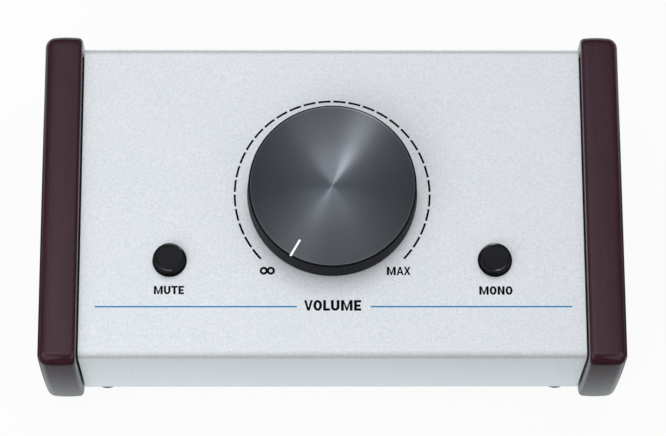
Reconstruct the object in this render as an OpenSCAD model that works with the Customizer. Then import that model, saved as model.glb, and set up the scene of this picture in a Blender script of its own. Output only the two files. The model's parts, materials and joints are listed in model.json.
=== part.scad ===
// Desktop studio monitor controller: a folded sheet-metal case between two
// wooden side panels, with a large volume knob, two push buttons and rear sockets.
// Millimetres. +X right, front towards -Y, +Z up. Origin: middle of the footprint, on the table.

/* [Case] */
// Overall width over the wooden side panels
overall_w = 165.6; // [160:0.1:190]
// Length of the top face along its slope
top_l = 91.8; // [88:0.1:100]
// Height of the front face
front_h = 31.1; // [29:0.1:36]
// Slope of the top face in degrees
slope = 4.5; // [3:0.5:6]
// Thickness of the sheet metal
sheet_t = 1.2; // [1:0.1:1.4]
// Outside radius of the sheet-metal bends
bend_r = 2.2; // [1.5:0.1:2.6]
// Depth of the lips that are turned in under the case
lip_d = 12; // [11:0.5:16]

/* [Side panels] */
// Thickness of each wooden panel
panel_t = 10.8; // [10:0.1:12]
// Shadow gap between a panel and the edge of the cover
panel_gap = 0.45; // [0.2:0.05:0.6]
// How far a panel stands above the top face
panel_over_top = 3.2; // [2:0.1:4]
// How far a panel stands in front of the front face
panel_over_front = 3.1; // [2:0.1:4]
// How far a panel stands behind the rear face
panel_over_rear = 3.4; // [3.4:0.1:5]
// How far a panel reaches below the case
panel_drop = 2.6; // [1:0.1:3.4]
// Radius of a panel's four corners, seen from the side
panel_corner_r = 3; // [2.5:0.1:5]
// Rounding of a panel's outer edges
panel_outer_r = 2.2; // [1:0.1:2.4]
// Rounding of a panel's inner edges
panel_inner_r = 0.9; // [0.3:0.1:1.2]

/* [Feet] */
// Height of the rubber feet
foot_h = 4; // [3.6:0.1:6]
// Diameter of the rubber feet
foot_d = 8.5; // [8:0.5:10]
// Distance of the feet from the middle
foot_x = 65.5; // [55:0.5:66]
// Distance from a foot's middle to the case's front or rear face
foot_inset = 5.4; // [5.2:0.1:6]

/* [Volume knob] */
// Diameter of the knob just below its chamfer
knob_top_d = 47.6; // [40:0.1:50]
// Diameter of the knob at its lower edge
knob_base_d = 48.5; // [40:0.1:50.5]
// Height of the knob's face above the cover
knob_face_h = 9.1; // [8.5:0.1:12]
// Gap between the knob's lower edge and the cover
knob_gap = 0.5; // [0.5:0.1:1]
// Chamfer round the knob's face
knob_chamfer = 0.5; // [0.3:0.1:0.8]
// Distance of the knob's axis from the front fold, up the slope
knob_s = 47.5; // [45:0.1:49]
// Angle of the pointer at the minimum stop, clockwise from the front
pointer_angle = 30; // [20:1:40]
// Length of the pointer line
pointer_l = 5.5; // [4:0.1:10]
// Width of the pointer line
pointer_w = 0.6; // [0.4:0.1:1]

/* [Push buttons] */
// Diameter of the button caps
button_d = 9.5; // [8.5:0.1:10]
// Distance of each button from the middle
button_x = 46.1; // [40:0.1:50]
// Distance of the buttons from the front fold, up the slope
button_s = 28; // [24:0.1:30]
// Height of a released cap above the cover
button_proud = 2.3; // [2:0.1:3]
// Travel of a button
button_travel = 1.6; // [1.2:0.1:1.8]
// Clearance between a cap and its hole
button_clearance = 0.2; // [0.15:0.05:0.4]

/* [Rear sockets] */
// Distance of the inner sockets from the middle
socket_inner_x = 26.8; // [26:0.1:27]
// Distance between the two sockets of a pair
socket_pitch = 28; // [27:0.1:28]
// Width of a socket flange
flange_w = 26; // [25:0.5:26]
// Height of a socket flange
flange_h = 31; // [30:0.5:31]
// Thickness of a socket flange
flange_t = 1.6; // [1.2:0.1:1.8]
// How far a socket's face stands behind the rear face
socket_nose = 0.5; // [0.2:0.1:1]
// Diameter of a socket body
socket_d = 23.6; // [23:0.1:23.6]
// Depth of a socket body inside the rear face
socket_l = 25.6; // [25:0.1:26]

/* [Hidden] */
$fn = 64;

// Colours
silver_paint = [0.86, 0.88, 0.9];
dark_wood = [0.2, 0.09, 0.11];
black_plastic = [0.08, 0.08, 0.09];
black_rubber = [0.05, 0.05, 0.05];
knob_metal = [0.3, 0.31, 0.33];
white_ink = [0.95, 0.95, 0.95];
steel = [0.75, 0.76, 0.78];
brass = [0.8, 0.65, 0.35];
board_green = [0.1, 0.35, 0.2];
tray_black = [0.06, 0.06, 0.07];
cable_grey = [0.6, 0.6, 0.62];

// Shared small sizes
eps = 0.01;
fit_gap = 0.02;
slide_gap = 0.3;
arc_steps = 8;
hull_fn = 32;

// Case
case_half_w = overall_w / 2 - panel_t;
cover_w = 2 * (case_half_w - panel_gap);
case_d = top_l * cos(slope);
front_y = panel_over_front - (panel_over_front + case_d + panel_over_rear) / 2;
rear_y = front_y + case_d;
case_z = foot_h;
fold_z = case_z + front_h;
rear_top_z = fold_z + top_l * sin(slope);
tray_z = case_z + sheet_t;
tray_gap = 0.2;

// Outline of the case seen from the side, as [y, z] points
case_outline = [
    [front_y, case_z], [front_y, fold_z], [rear_y, rear_top_z], [rear_y, case_z]
];
top_inset = sheet_t / cos(slope);
slope_inset = sheet_t * tan(slope);
case_inside = [
    [front_y + sheet_t, case_z + sheet_t],
    [front_y + sheet_t, fold_z - top_inset + slope_inset],
    [rear_y - sheet_t, rear_top_z - top_inset - slope_inset],
    [rear_y - sheet_t, case_z + sheet_t]
];

// Outline of a side panel, as [y, z] points
panel_front_y = front_y - panel_over_front;
panel_rear_y = rear_y + panel_over_rear;
panel_bottom_z = case_z - panel_drop;
panel_rise = panel_over_top / cos(slope);
panel_outline = [
    [panel_front_y, panel_bottom_z],
    [panel_front_y, fold_z + panel_rise - panel_over_front * tan(slope)],
    [panel_rear_y, rear_top_z + panel_rise + panel_over_rear * tan(slope)],
    [panel_rear_y, panel_bottom_z]
];

// Screws
m3_r = 1.5;
m3_clear_r = 1.7;
m3_head_r = 2.75;
m3_head_h = 1.5;
m3_slot_r = 1;
m3_slot_h = 0.8;
side_screw_l = 9.5;
side_screw_inset = 21;
side_screw_z = 20;
foot_screw_recess = 1.2;
foot_screw_top = 2.2;
foot_edge = 0.6;

// Potentiometer, heights measured from the cover's top face
pot_hole_r = 3.6;
pot_bushing_r = 3.5;
pot_bushing_top = 2.8;
pot_shaft_r = 3;
pot_shaft_gap = 0.05;
pot_shaft_top = 7.3;
pot_flat = 2.5;
pot_flat_l = 4;
pot_r = 8.5;
pot_h = 12;
pot_washer_r = 6;
pot_washer_t = 0.5;
pot_nut_r = 5.5;
pot_nut_h = 2;
pot_wafer_w = 17;
pot_wafer_t = 1.2;
wafer_reach = [12.5, 10.3];
wiper_r = 6;
wiper_t = 0.8;
wiper_room_r = 6.6;
wiper_room_h = 1.6;
wiper_depths = [4.5, 9.5];
terminal_pitch = 5;
terminal_w = 0.8;
terminal_reach = [11.6, 9.5];
terminal_tail = 1;
pot_key_r = 1.2;
pot_key_x = 7.2;

// Knob
knob_wall = 2;
knob_top_t = 1.9;
knob_hub_r = 6.5;
knob_hub_z = 3.2;
knob_bore_top = 7.4;
knob_screw_z = 5;
knob_screw_r = 1.5;
knob_screw_end = 6;
knob_screw_key_r = 0.8;
knob_screw_key_d = 1.5;
pointer_depth = 0.4;
knob_face_r = knob_top_d / 2 - knob_chamfer;

// Buttons, heights measured from the cover's top face
cap_edge_r = 0.85;
cap_rim_w = 0.15;
cap_dish = 0.2;
cap_socket_top = -0.4;
stem_w = 3;
stem_foot_w = 4.4;
stem_foot_h = 1.2;
switch_w = 8.5;
switch_top = -7;
cap_stop_gap = 1.4;
cap_bottom = switch_top + cap_stop_gap + button_travel;
switch_wall_t = 0.8;
switch_room_w = 5;
switch_floor = 0.6;
spring_r = 1.4;
spring_wire_r = 0.2;
spring_turns = 5;
spring_sides = 6;
spring_steps = 12;
foot_top = switch_top - switch_wall_t - 0.1;

// Control board under the cover, and the board behind the sockets
board_top = -14;
board_t = 1.6;
board_w = 124;
board_s0 = 9;
board_s1 = 58;
standoff_r = 2.75;
standoff_x = 56;
standoff_s0 = 14;
standoff_s1 = 53;
standoff_bore = 8;
board_screw_l = 7;
rear_board_w = 136;
rear_board_z0 = 8.5;
rear_board_z1 = 36.5;
rear_board_y = rear_y - socket_l;

// Rear sockets
output_xs = [-socket_inner_x - socket_pitch, -socket_inner_x];
input_xs = [socket_inner_x, socket_inner_x + socket_pitch];
socket_xs = concat(output_xs, input_xs);
socket_drop = 0.5;
socket_z = (case_z + rear_top_z) / 2 - socket_drop;
socket_hole_r = socket_d / 2 + 0.2;
flange_corner_r = 2;
socket_bore_r = 9.8;
socket_bore_d = 13;
insert_r = 7.8;
insert_recess = 1.5;
insert_end = 24;
jack_bore_r = 3.25;
jack_bore_end = 23;
pin_circle_r = 5.2;
pin_angles = [31, 149, 270];
pin_hole_r = 1.35;
pin_hole_d = 11;
pin_r = 1.2;
pin_recess = 3;
pin_tip = 0.5;
flange_screw_x = 9.5;
flange_screw_z = 12;
flange_screw_l = 6;
aux_nose_r = 3;
aux_nose_l = 2.9;
aux_hole_r = 3.1;
aux_bore_r = 1.8;
aux_bore_l = 15;
aux_body_w = 10;
aux_body_l = 15;
aux_nut_r = 4.2;
aux_nut_h = 1.5;
aux_pin_w = 0.8;
aux_pin_pitch = 3;

// Ribbon cable between the boards
header_w = 16;
header_d = 5;
header_h = 6;
header_s = 24;
ribbon_w = 14;
ribbon_t = 0.9;
ribbon_bend_r = 4;
ribbon_z = 11;
ribbon_grip = 1;

function unit(v) = v / norm(v);

function corner_centre(a, b, c, r) =
    let (u = unit(a - b), v = unit(c - b), half = acos(u * v) / 2)
    b + unit(u + v) * r / sin(half);

// Points of the arc that rounds corner b between its neighbours a and c
function corner_arc(a, b, c, r) =
    let (
        u = unit(a - b),
        v = unit(c - b),
        reach = r / tan(acos(u * v) / 2),
        centre = corner_centre(a, b, c, r),
        from = b + u * reach - centre,
        to = b + v * reach - centre,
        start = atan2(from[1], from[0]),
        turn = atan2(cross(from, to), from * to)
    )
    [for (i = [0 : arc_steps]) centre + r * [
        cos(start + turn * i / arc_steps),
        sin(start + turn * i / arc_steps)
    ]];

module rounded_polygon(points, r) {
    n = len(points);
    polygon([
        for (i = [0 : n - 1])
            each corner_arc(points[(i + n - 1) % n], points[i], points[(i + 1) % n], r)
    ]);
}

function box_points(w, h) = [
    [-w / 2, -h / 2], [w / 2, -h / 2], [w / 2, h / 2], [-w / 2, h / 2]
];

// Extrudes a [y, z] outline along X, centred on the middle plane
module along_x(length) {
    rotate([90, 0, 90])
        linear_extrude(height = length, center = true)
            children();
}

// Places children on the cover's top face: x, distance up the slope, height above it
module on_top(x, s, h = 0) {
    translate([0, front_y, fold_z])
        rotate([slope, 0, 0])
            translate([x, s, h])
                children();
}

// Places children on the rear face, with their +Z pointing backwards
module on_rear(x, z, out = 0) {
    translate([x, rear_y + out, z])
        rotate([-90, 0, 0])
            children();
}

module both_sides() {
    children();
    mirror([1, 0, 0])
        children();
}

module at_feet() {
    for (x = [-foot_x, foot_x])
        for (y = [front_y + foot_inset, rear_y - foot_inset])
            translate([x, y, 0])
                children();
}

module at_side_screws() {
    for (y = [front_y + side_screw_inset, rear_y - side_screw_inset])
        translate([case_half_w, y, side_screw_z])
            rotate([0, 90, 0])
                children();
}

module at_standoffs() {
    for (x = [-standoff_x, standoff_x])
        for (s = [standoff_s0, standoff_s1])
            on_top(x, s)
                children();
}

module at_flange_screws(x) {
    for (side = [-1, 1])
        on_rear(x + side * flange_screw_x, socket_z + side * flange_screw_z)
            children();
}

// Pan-head screw: its head stands on z = 0, its shank points down
module pan_screw(length) {
    difference() {
        union() {
            translate([0, 0, -length])
                cylinder(h = length + eps, r = m3_r - fit_gap);
            cylinder(h = m3_head_h, r1 = m3_head_r, r2 = m3_head_r - 0.5);
        }
        translate([0, 0, m3_head_h - m3_slot_h])
            cylinder(h = m3_head_h, r = m3_slot_r, $fn = 6);
    }
}

// Case ---------------------------------------------------------------

module top_cover() {
    color(silver_paint)
        difference() {
            along_x(cover_w)
                difference() {
                    rounded_polygon(case_outline, bend_r);
                    rounded_polygon(case_inside, bend_r - sheet_t);
                    translate([front_y + lip_d, case_z - sheet_t])
                        square([case_d - 2 * lip_d, 3 * sheet_t]);
                }
            on_top(0, knob_s, -2 * sheet_t)
                cylinder(h = 3 * sheet_t, r = pot_hole_r);
            on_top(pot_key_x, knob_s, -2 * sheet_t)
                cylinder(h = 3 * sheet_t, r = pot_key_r + fit_gap);
            for (x = [-button_x, button_x])
                on_top(x, button_s, -2 * sheet_t)
                    cylinder(h = 3 * sheet_t, r = button_d / 2 + button_clearance);
            for (x = socket_xs) {
                on_rear(x, socket_z, -2 * sheet_t)
                    cylinder(h = 3 * sheet_t, r = socket_hole_r);
                at_flange_screws(x)
                    translate([0, 0, -2 * sheet_t])
                        cylinder(h = 3 * sheet_t, r = m3_clear_r);
            }
            on_rear(0, socket_z, -2 * sheet_t)
                cylinder(h = 3 * sheet_t, r = aux_hole_r);
            at_feet()
                translate([0, 0, case_z - sheet_t])
                    cylinder(h = 3 * sheet_t, r = m3_clear_r);
        }
}

module base_tray() {
    inner_front = front_y + bend_r + tray_gap;
    inner_rear = rear_y - bend_r - tray_gap;
    flange_front_z = fold_z - top_inset + slope_inset - tray_gap;
    flange_rear_z = rear_top_z - top_inset - slope_inset - 2 * tray_gap;
    color(tray_black)
        difference() {
            union() {
                translate([-case_half_w, inner_front, tray_z])
                    cube([2 * case_half_w, inner_rear - inner_front, sheet_t]);
                both_sides()
                    translate([case_half_w - sheet_t / 2, 0, 0])
                        along_x(sheet_t)
                            polygon([
                                [inner_front, tray_z], [inner_front, flange_front_z],
                                [inner_rear, flange_rear_z], [inner_rear, tray_z]
                            ]);
            }
            at_feet()
                translate([0, 0, tray_z - sheet_t])
                    cylinder(h = 3 * sheet_t, r = m3_r);
            both_sides()
                at_side_screws()
                    translate([0, 0, -2 * sheet_t])
                        cylinder(h = 3 * sheet_t, r = m3_clear_r);
        }
}

// Disc with two rounded rims: its inner face is at z = 0, its outer face at z = panel_t
module panel_corner() {
    inner = [panel_corner_r - panel_inner_r, panel_inner_r];
    outer = [panel_corner_r - panel_outer_r, panel_t - panel_outer_r];
    rotate_extrude($fn = hull_fn)
        polygon(concat(
            [[0, 0]],
            [for (i = [0 : arc_steps / 2]) let (a = -90 + 90 * i / (arc_steps / 2))
                inner + panel_inner_r * [cos(a), sin(a)]],
            [for (i = [0 : arc_steps]) let (a = 90 * i / arc_steps)
                outer + panel_outer_r * [cos(a), sin(a)]],
            [[0, panel_t]]
        ));
}

module side_panel() {
    n = len(panel_outline);
    color(dark_wood)
        difference() {
            hull()
                for (i = [0 : n - 1]) {
                    centre = corner_centre(
                        panel_outline[(i + n - 1) % n], panel_outline[i],
                        panel_outline[(i + 1) % n], panel_corner_r
                    );
                    translate([case_half_w, centre[0], centre[1]])
                        rotate([0, 90, 0])
                            panel_corner();
                }
            at_side_screws()
                translate([0, 0, -eps])
                    cylinder(h = side_screw_l, r = m3_r);
        }
}

module side_panel_left() {
    mirror([1, 0, 0])
        side_panel();
}

module side_panel_right() {
    side_panel();
}

module side_panel_screws() {
    color(steel)
        both_sides()
            at_side_screws()
                translate([0, 0, -sheet_t])
                    rotate([180, 0, 0])
                        pan_screw(side_screw_l);
}

// Feet ---------------------------------------------------------------

module rubber_feet() {
    foot_r = foot_d / 2;
    color(black_rubber)
        at_feet()
            rotate_extrude()
                polygon([
                    [m3_head_r + slide_gap, 0],
                    [foot_r - foot_edge, 0],
                    [foot_r - foot_edge * 0.3, foot_edge * 0.3],
                    [foot_r, foot_edge],
                    [foot_r, foot_h],
                    [m3_r, foot_h],
                    [m3_r, foot_screw_recess + m3_head_h],
                    [m3_head_r + slide_gap, foot_screw_recess + m3_head_h]
                ]);
}

module foot_screws() {
    length = tray_z + sheet_t + foot_screw_top - foot_screw_recess - m3_head_h;
    color(steel)
        at_feet()
            translate([0, 0, foot_screw_recess + m3_head_h])
                rotate([180, 0, 0])
                    pan_screw(length);
}

// Knob ---------------------------------------------------------------

// Turns children from the knob's axis to the direction of its pointer
module towards_pointer() {
    rotate([0, 0, -90 - pointer_angle])
        children();
}

// Straight bar along the pointer line, long enough to cross the chamfer
module pointer_bar() {
    towards_pointer()
        translate([knob_top_d / 2 - pointer_l, -pointer_w / 2, knob_face_h - pointer_depth])
            cube([pointer_l + 1, pointer_w, pointer_depth + 1]);
}

module volume_knob() {
    top_r = knob_top_d / 2;
    base_r = knob_base_d / 2;
    ceiling = knob_face_h - knob_top_t;
    color(knob_metal)
        on_top(0, knob_s)
            difference() {
                rotate_extrude($fn = 128)
                    polygon([
                        [pot_shaft_r + fit_gap, knob_hub_z],
                        [knob_hub_r, knob_hub_z],
                        [knob_hub_r, ceiling],
                        [base_r - knob_wall, ceiling],
                        [base_r - knob_wall, knob_gap],
                        [base_r, knob_gap],
                        [top_r, knob_face_h - knob_chamfer],
                        [knob_face_r, knob_face_h],
                        [0, knob_face_h],
                        [0, knob_bore_top],
                        [pot_shaft_r + fit_gap, knob_bore_top]
                    ]);
                pointer_bar();
                towards_pointer()
                    translate([0, 0, knob_screw_z])
                        rotate([0, -90, 0])
                            cylinder(h = base_r + 1, r = knob_screw_r);
            }
}

module knob_pointer() {
    color(white_ink)
        on_top(0, knob_s)
            intersection() {
                pointer_bar();
                rotate_extrude($fn = 128)
                    polygon([
                        [0, knob_gap],
                        [knob_base_d / 2, knob_gap],
                        [knob_top_d / 2, knob_face_h - knob_chamfer],
                        [knob_face_r, knob_face_h],
                        [0, knob_face_h]
                    ]);
            }
}

module knob_set_screw() {
    color(steel)
        on_top(0, knob_s, knob_screw_z)
            towards_pointer()
                rotate([0, -90, 0])
                    difference() {
                        translate([0, 0, pot_flat + fit_gap])
                            cylinder(h = knob_screw_end - pot_flat, r = knob_screw_r - fit_gap);
                        translate([0, 0, knob_screw_end - knob_screw_key_d])
                            cylinder(h = 2 * knob_screw_key_d, r = knob_screw_key_r, $fn = 6);
                    }
}

// Potentiometer ------------------------------------------------------

module pot_shaft() {
    bottom = -sheet_t - pot_h + 1;
    color(steel)
        on_top(0, knob_s)
            difference() {
                translate([0, 0, bottom])
                    cylinder(h = pot_shaft_top - bottom, r = pot_shaft_r);
                towards_pointer()
                    translate([-2 * pot_shaft_r - pot_flat, -pot_shaft_r, pot_shaft_top - pot_flat_l])
                        cube([2 * pot_shaft_r, 2 * pot_shaft_r, pot_flat_l + 1]);
            }
}

module pot_wiper() {
    color(black_plastic)
        for (depth = wiper_depths)
            on_top(0, knob_s, -sheet_t - depth)
                difference() {
                    cylinder(h = wiper_t, r = wiper_r);
                    translate([0, 0, -eps])
                        cylinder(h = wiper_t + 2 * eps, r = pot_shaft_r + fit_gap);
                }
}

module pot_body() {
    wafer_room = (wiper_room_h - wiper_t) / 2;
    color(steel)
        on_top(0, knob_s, -sheet_t)
            difference() {
                union() {
                    translate([0, 0, -pot_h])
                        cylinder(h = pot_h, r = pot_r);
                    translate([pot_key_x, 0, -eps])
                        cylinder(h = sheet_t, r = pot_key_r);
                    for (row = [0, 1])
                        translate([-pot_wafer_w / 2, -wafer_reach[row], -wiper_depths[row] - pot_wafer_t])
                            cube([pot_wafer_w, wafer_reach[row], pot_wafer_t]);
                }
                translate([0, 0, 1 - pot_h - 0.2])
                    cylinder(h = pot_h, r = pot_shaft_r + pot_shaft_gap);
                for (depth = wiper_depths)
                    translate([0, 0, -depth - wafer_room])
                        cylinder(h = wiper_room_h, r = wiper_room_r);
            }
}

module pot_bushing() {
    color(brass)
        on_top(0, knob_s, -sheet_t)
            difference() {
                cylinder(h = sheet_t + pot_bushing_top, r = pot_bushing_r);
                translate([0, 0, -eps])
                    cylinder(h = sheet_t + pot_bushing_top + 1, r = pot_shaft_r + pot_shaft_gap);
            }
}

module pot_washer() {
    color(steel)
        on_top(0, knob_s)
            difference() {
                cylinder(h = pot_washer_t, r = pot_washer_r);
                translate([0, 0, -eps])
                    cylinder(h = pot_washer_t + 1, r = pot_hole_r);
            }
}

module pot_nut() {
    color(steel)
        on_top(0, knob_s, pot_washer_t)
            difference() {
                cylinder(h = pot_nut_h, r = pot_nut_r, $fn = 6);
                translate([0, 0, -eps])
                    cylinder(h = pot_nut_h + 1, r = pot_bushing_r + fit_gap);
            }
}

// Places children at a terminal of one of the two wafers, at height h
module at_terminals(row, h) {
    for (i = [-1 : 1])
        on_top(i * terminal_pitch, knob_s - terminal_reach[row], h)
            translate([-terminal_w / 2, -terminal_w / 2, 0])
                children();
}

module pot_terminals() {
    bottom = board_top - board_t - terminal_tail;
    color(brass)
        for (row = [0, 1])
            at_terminals(row, bottom)
                cube([
                    terminal_w, terminal_w,
                    -sheet_t - wiper_depths[row] - pot_wafer_t - bottom
                ]);
}

// Push buttons -------------------------------------------------------

module button_cap(x) {
    r = button_d / 2;
    color(black_plastic)
        on_top(x, button_s)
            difference() {
                rotate_extrude()
                    polygon(concat(
                        [[0, cap_bottom], [r, cap_bottom]],
                        [for (i = [0 : arc_steps]) let (a = 90 * i / arc_steps)
                            [r - cap_edge_r, button_proud - cap_edge_r]
                                + cap_edge_r * [cos(a), sin(a)]],
                        [
                            [r - cap_edge_r - cap_rim_w, button_proud],
                            [(r - cap_edge_r - cap_rim_w) * 0.86, button_proud - cap_dish * 0.8],
                            [(r - cap_edge_r - cap_rim_w) * 0.5, button_proud - cap_dish],
                            [0, button_proud - cap_dish * 0.9]
                        ]
                    ));
                translate([-stem_w / 2, -stem_w / 2, cap_bottom - 1])
                    cube([stem_w, stem_w, cap_socket_top - cap_bottom + 1]);
            }
}

module switch_plunger(x) {
    color(white_ink)
        on_top(x, button_s)
            union() {
                translate([-stem_w / 2, -stem_w / 2, foot_top - eps])
                    cube([stem_w, stem_w, cap_socket_top - foot_top + eps]);
                translate([-stem_foot_w / 2, -stem_foot_w / 2, foot_top - stem_foot_h])
                    cube([stem_foot_w, stem_foot_w, stem_foot_h]);
            }
}

module switch_body(x) {
    room_w = switch_room_w;
    mouth_w = stem_w + slide_gap;
    color(black_plastic)
        on_top(x, button_s)
            difference() {
                translate([-switch_w / 2, -switch_w / 2, board_top])
                    cube([switch_w, switch_w, switch_top - board_top]);
                translate([-room_w / 2, -room_w / 2, board_top + switch_floor])
                    cube([room_w, room_w, switch_top - switch_wall_t - board_top - switch_floor]);
                translate([-mouth_w / 2, -mouth_w / 2, switch_top - 2 * switch_wall_t])
                    cube([mouth_w, mouth_w, 3 * switch_wall_t]);
            }
}

// Points of one ring of the spring's wire, at angle a and height h
function wire_ring(a, h) = [
    for (k = [0 : spring_sides - 1])
        let (t = 360 * k / spring_sides, out = spring_r + spring_wire_r * cos(t))
        [out * cos(a), out * sin(a), h + spring_wire_r * sin(t)]
];

module switch_spring(x) {
    bottom = board_top + switch_floor + spring_wire_r + fit_gap;
    top = foot_top - stem_foot_h - spring_wire_r - fit_gap;
    steps = spring_turns * spring_steps;
    last = steps * spring_sides;
    points = [
        for (i = [0 : steps])
            each wire_ring(360 * i / spring_steps, bottom + (top - bottom) * i / steps)
    ];
    walls = [
        for (i = [0 : steps - 1])
            for (k = [0 : spring_sides - 1])
                let (a = i * spring_sides + k, b = i * spring_sides + (k + 1) % spring_sides)
                each [[a, b, b + spring_sides], [a, b + spring_sides, a + spring_sides]]
    ];
    caps = [
        [for (k = [spring_sides - 1 : -1 : 0]) k],
        [for (k = [0 : spring_sides - 1]) last + k]
    ];
    color(steel)
        on_top(x, button_s)
            polyhedron(points = points, faces = concat(walls, caps));
}

module mute_button() {
    button_cap(-button_x);
}

module mute_plunger() {
    switch_plunger(-button_x);
}

module mute_switch() {
    switch_body(-button_x);
}

module mute_spring() {
    switch_spring(-button_x);
}

module mono_button() {
    button_cap(button_x);
}

module mono_plunger() {
    switch_plunger(button_x);
}

module mono_switch() {
    switch_body(button_x);
}

module mono_spring() {
    switch_spring(button_x);
}

// Boards -------------------------------------------------------------

module control_board() {
    color(board_green)
        difference() {
            on_top(-board_w / 2, board_s0, board_top - board_t)
                cube([board_w, board_s1 - board_s0, board_t]);
            at_standoffs()
                translate([0, 0, board_top - 2 * board_t])
                    cylinder(h = 3 * board_t, r = m3_clear_r);
            for (row = [0, 1])
                at_terminals(row, board_top - 2 * board_t)
                    cube([terminal_w, terminal_w, 3 * board_t]);
        }
}

module board_standoffs() {
    color(steel)
        at_standoffs()
            difference() {
                translate([0, 0, board_top])
                    cylinder(h = -sheet_t - board_top, r = standoff_r);
                translate([0, 0, board_top - eps])
                    cylinder(h = standoff_bore, r = m3_r);
            }
}

module board_screws() {
    color(steel)
        at_standoffs()
            translate([0, 0, board_top - board_t])
                rotate([180, 0, 0])
                    pan_screw(board_screw_l);
}

module chip_resistors() {
    chip = [3.2, 1.6, 0.6];
    color(black_plastic)
        for (i = [-5 : 5])
            for (row = [0, 1])
                on_top(i * 5 - chip[0] / 2, 40 + row * 5, board_top - board_t - chip[2])
                    cube(chip);
}

module rear_board() {
    color(board_green)
        difference() {
            translate([-rear_board_w / 2, rear_board_y - board_t, rear_board_z0])
                cube([rear_board_w, board_t, rear_board_z1 - rear_board_z0]);
            for (x = output_xs)
                for (a = pin_angles)
                    on_rear(x, socket_z, -socket_l - 2 * board_t)
                        translate([pin_circle_r * cos(a), pin_circle_r * sin(a), 0])
                            cylinder(h = 3 * board_t, r = pin_r);
            for (i = [-1 : 1])
                on_rear(i * aux_pin_pitch, socket_z, -socket_l - 2 * board_t)
                    translate([-aux_pin_w / 2, -aux_pin_w / 2, 0])
                        cube([aux_pin_w, aux_pin_w, 3 * board_t]);
        }
}

// [y, z] of a place on the control board's underside
function under_board(s, drop) = [
    front_y + s * cos(slope) + (board_t - board_top + drop) * sin(slope),
    fold_z + s * sin(slope) - (board_t - board_top + drop) * cos(slope)
];

module cable_headers() {
    color(black_plastic) {
        on_top(-header_w / 2, header_s - header_d / 2, board_top - board_t - header_h)
            cube([header_w, header_d, header_h]);
        translate([-header_w / 2, rear_board_y - board_t - header_h, ribbon_z - header_d / 2])
            cube([header_w, header_h, header_d]);
    }
}

module ribbon_cable() {
    start = under_board(header_s, header_h - ribbon_grip);
    finish_y = rear_board_y - board_t - header_h + ribbon_grip;
    bend_y = start[0] + ribbon_bend_r;
    bend_z = ribbon_z + ribbon_bend_r;
    inner_r = ribbon_bend_r - ribbon_t / 2;
    outer_r = ribbon_bend_r + ribbon_t / 2;
    quarter = [for (i = [0 : arc_steps]) 180 + 90 * i / arc_steps];
    color(cable_grey)
        along_x(ribbon_w)
            polygon(concat(
                [[bend_y - outer_r, start[1]]],
                [for (a = quarter) [bend_y + outer_r * cos(a), bend_z + outer_r * sin(a)]],
                [[finish_y, bend_z - outer_r], [finish_y, bend_z - inner_r]],
                [for (i = [arc_steps : -1 : 0])
                    [bend_y + inner_r * cos(quarter[i]), bend_z + inner_r * sin(quarter[i])]],
                [[bend_y - inner_r, start[1]]]
            ));
}

// Rear sockets -------------------------------------------------------

module socket_flange() {
    linear_extrude(height = flange_t)
        rounded_polygon(box_points(flange_w, flange_h), flange_corner_r);
}

module socket_shell(x) {
    color(black_plastic)
        difference() {
            union() {
                on_rear(x, socket_z, -sheet_t - flange_t)
                    socket_flange();
                on_rear(x, socket_z, -socket_l)
                    cylinder(h = socket_l + socket_nose, r = socket_d / 2);
            }
            on_rear(x, socket_z, socket_nose - socket_bore_d)
                cylinder(h = socket_bore_d + 1, r = socket_bore_r);
            at_flange_screws(x)
                translate([0, 0, -sheet_t - 2 * flange_t])
                    cylinder(h = 3 * flange_t, r = m3_r);
            children();
        }
}

module input_shell(x) {
    socket_shell(x)
        on_rear(x, socket_z, socket_nose - insert_end)
            cylinder(h = insert_end, r = insert_r + fit_gap);
}

module input_insert(x) {
    color(black_plastic)
        difference() {
            on_rear(x, socket_z, socket_nose - insert_end)
                cylinder(h = insert_end - insert_recess, r = insert_r);
            on_rear(x, socket_z, socket_nose - jack_bore_end)
                cylinder(h = jack_bore_end + 1, r = jack_bore_r);
            for (a = pin_angles)
                on_rear(x, socket_z, socket_nose - insert_recess - pin_hole_d)
                    translate([pin_circle_r * cos(a), pin_circle_r * sin(a), 0])
                        cylinder(h = pin_hole_d + 1, r = pin_hole_r);
        }
}

module output_shell(x) {
    socket_shell(x)
        for (a = pin_angles)
            on_rear(x, socket_z, -socket_l - 1)
                translate([pin_circle_r * cos(a), pin_circle_r * sin(a), 0])
                    cylinder(h = socket_l + 1, r = pin_r + fit_gap);
}

module output_pins(x) {
    bottom = -socket_l - board_t - 1;
    length = socket_nose - pin_recess - bottom;
    color(steel)
        for (a = pin_angles)
            on_rear(x, socket_z, bottom)
                translate([pin_circle_r * cos(a), pin_circle_r * sin(a), 0]) {
                    cylinder(h = length - pin_tip, r = pin_r - fit_gap);
                    translate([0, 0, length - pin_tip - eps])
                        cylinder(h = pin_tip, r1 = pin_r - fit_gap, r2 = pin_r - pin_tip);
                }
}

module input_shell_left() {
    input_shell(input_xs[0]);
}

module input_shell_right() {
    input_shell(input_xs[1]);
}

module input_insert_left() {
    input_insert(input_xs[0]);
}

module input_insert_right() {
    input_insert(input_xs[1]);
}

module output_shell_left() {
    output_shell(output_xs[0]);
}

module output_shell_right() {
    output_shell(output_xs[1]);
}

module output_pins_left() {
    output_pins(output_xs[0]);
}

module output_pins_right() {
    output_pins(output_xs[1]);
}

module aux_jack() {
    color(black_plastic)
        difference() {
            union() {
                on_rear(0, socket_z, -sheet_t - eps)
                    cylinder(h = sheet_t + aux_nose_l, r = aux_nose_r);
                on_rear(0, socket_z, -sheet_t - aux_body_l)
                    translate([-aux_body_w / 2, -aux_body_w / 2, 0])
                        cube([aux_body_w, aux_body_w, aux_body_l]);
            }
            on_rear(0, socket_z, aux_nose_l - aux_bore_l)
                cylinder(h = aux_bore_l + 1, r = aux_bore_r);
        }
}

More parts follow.
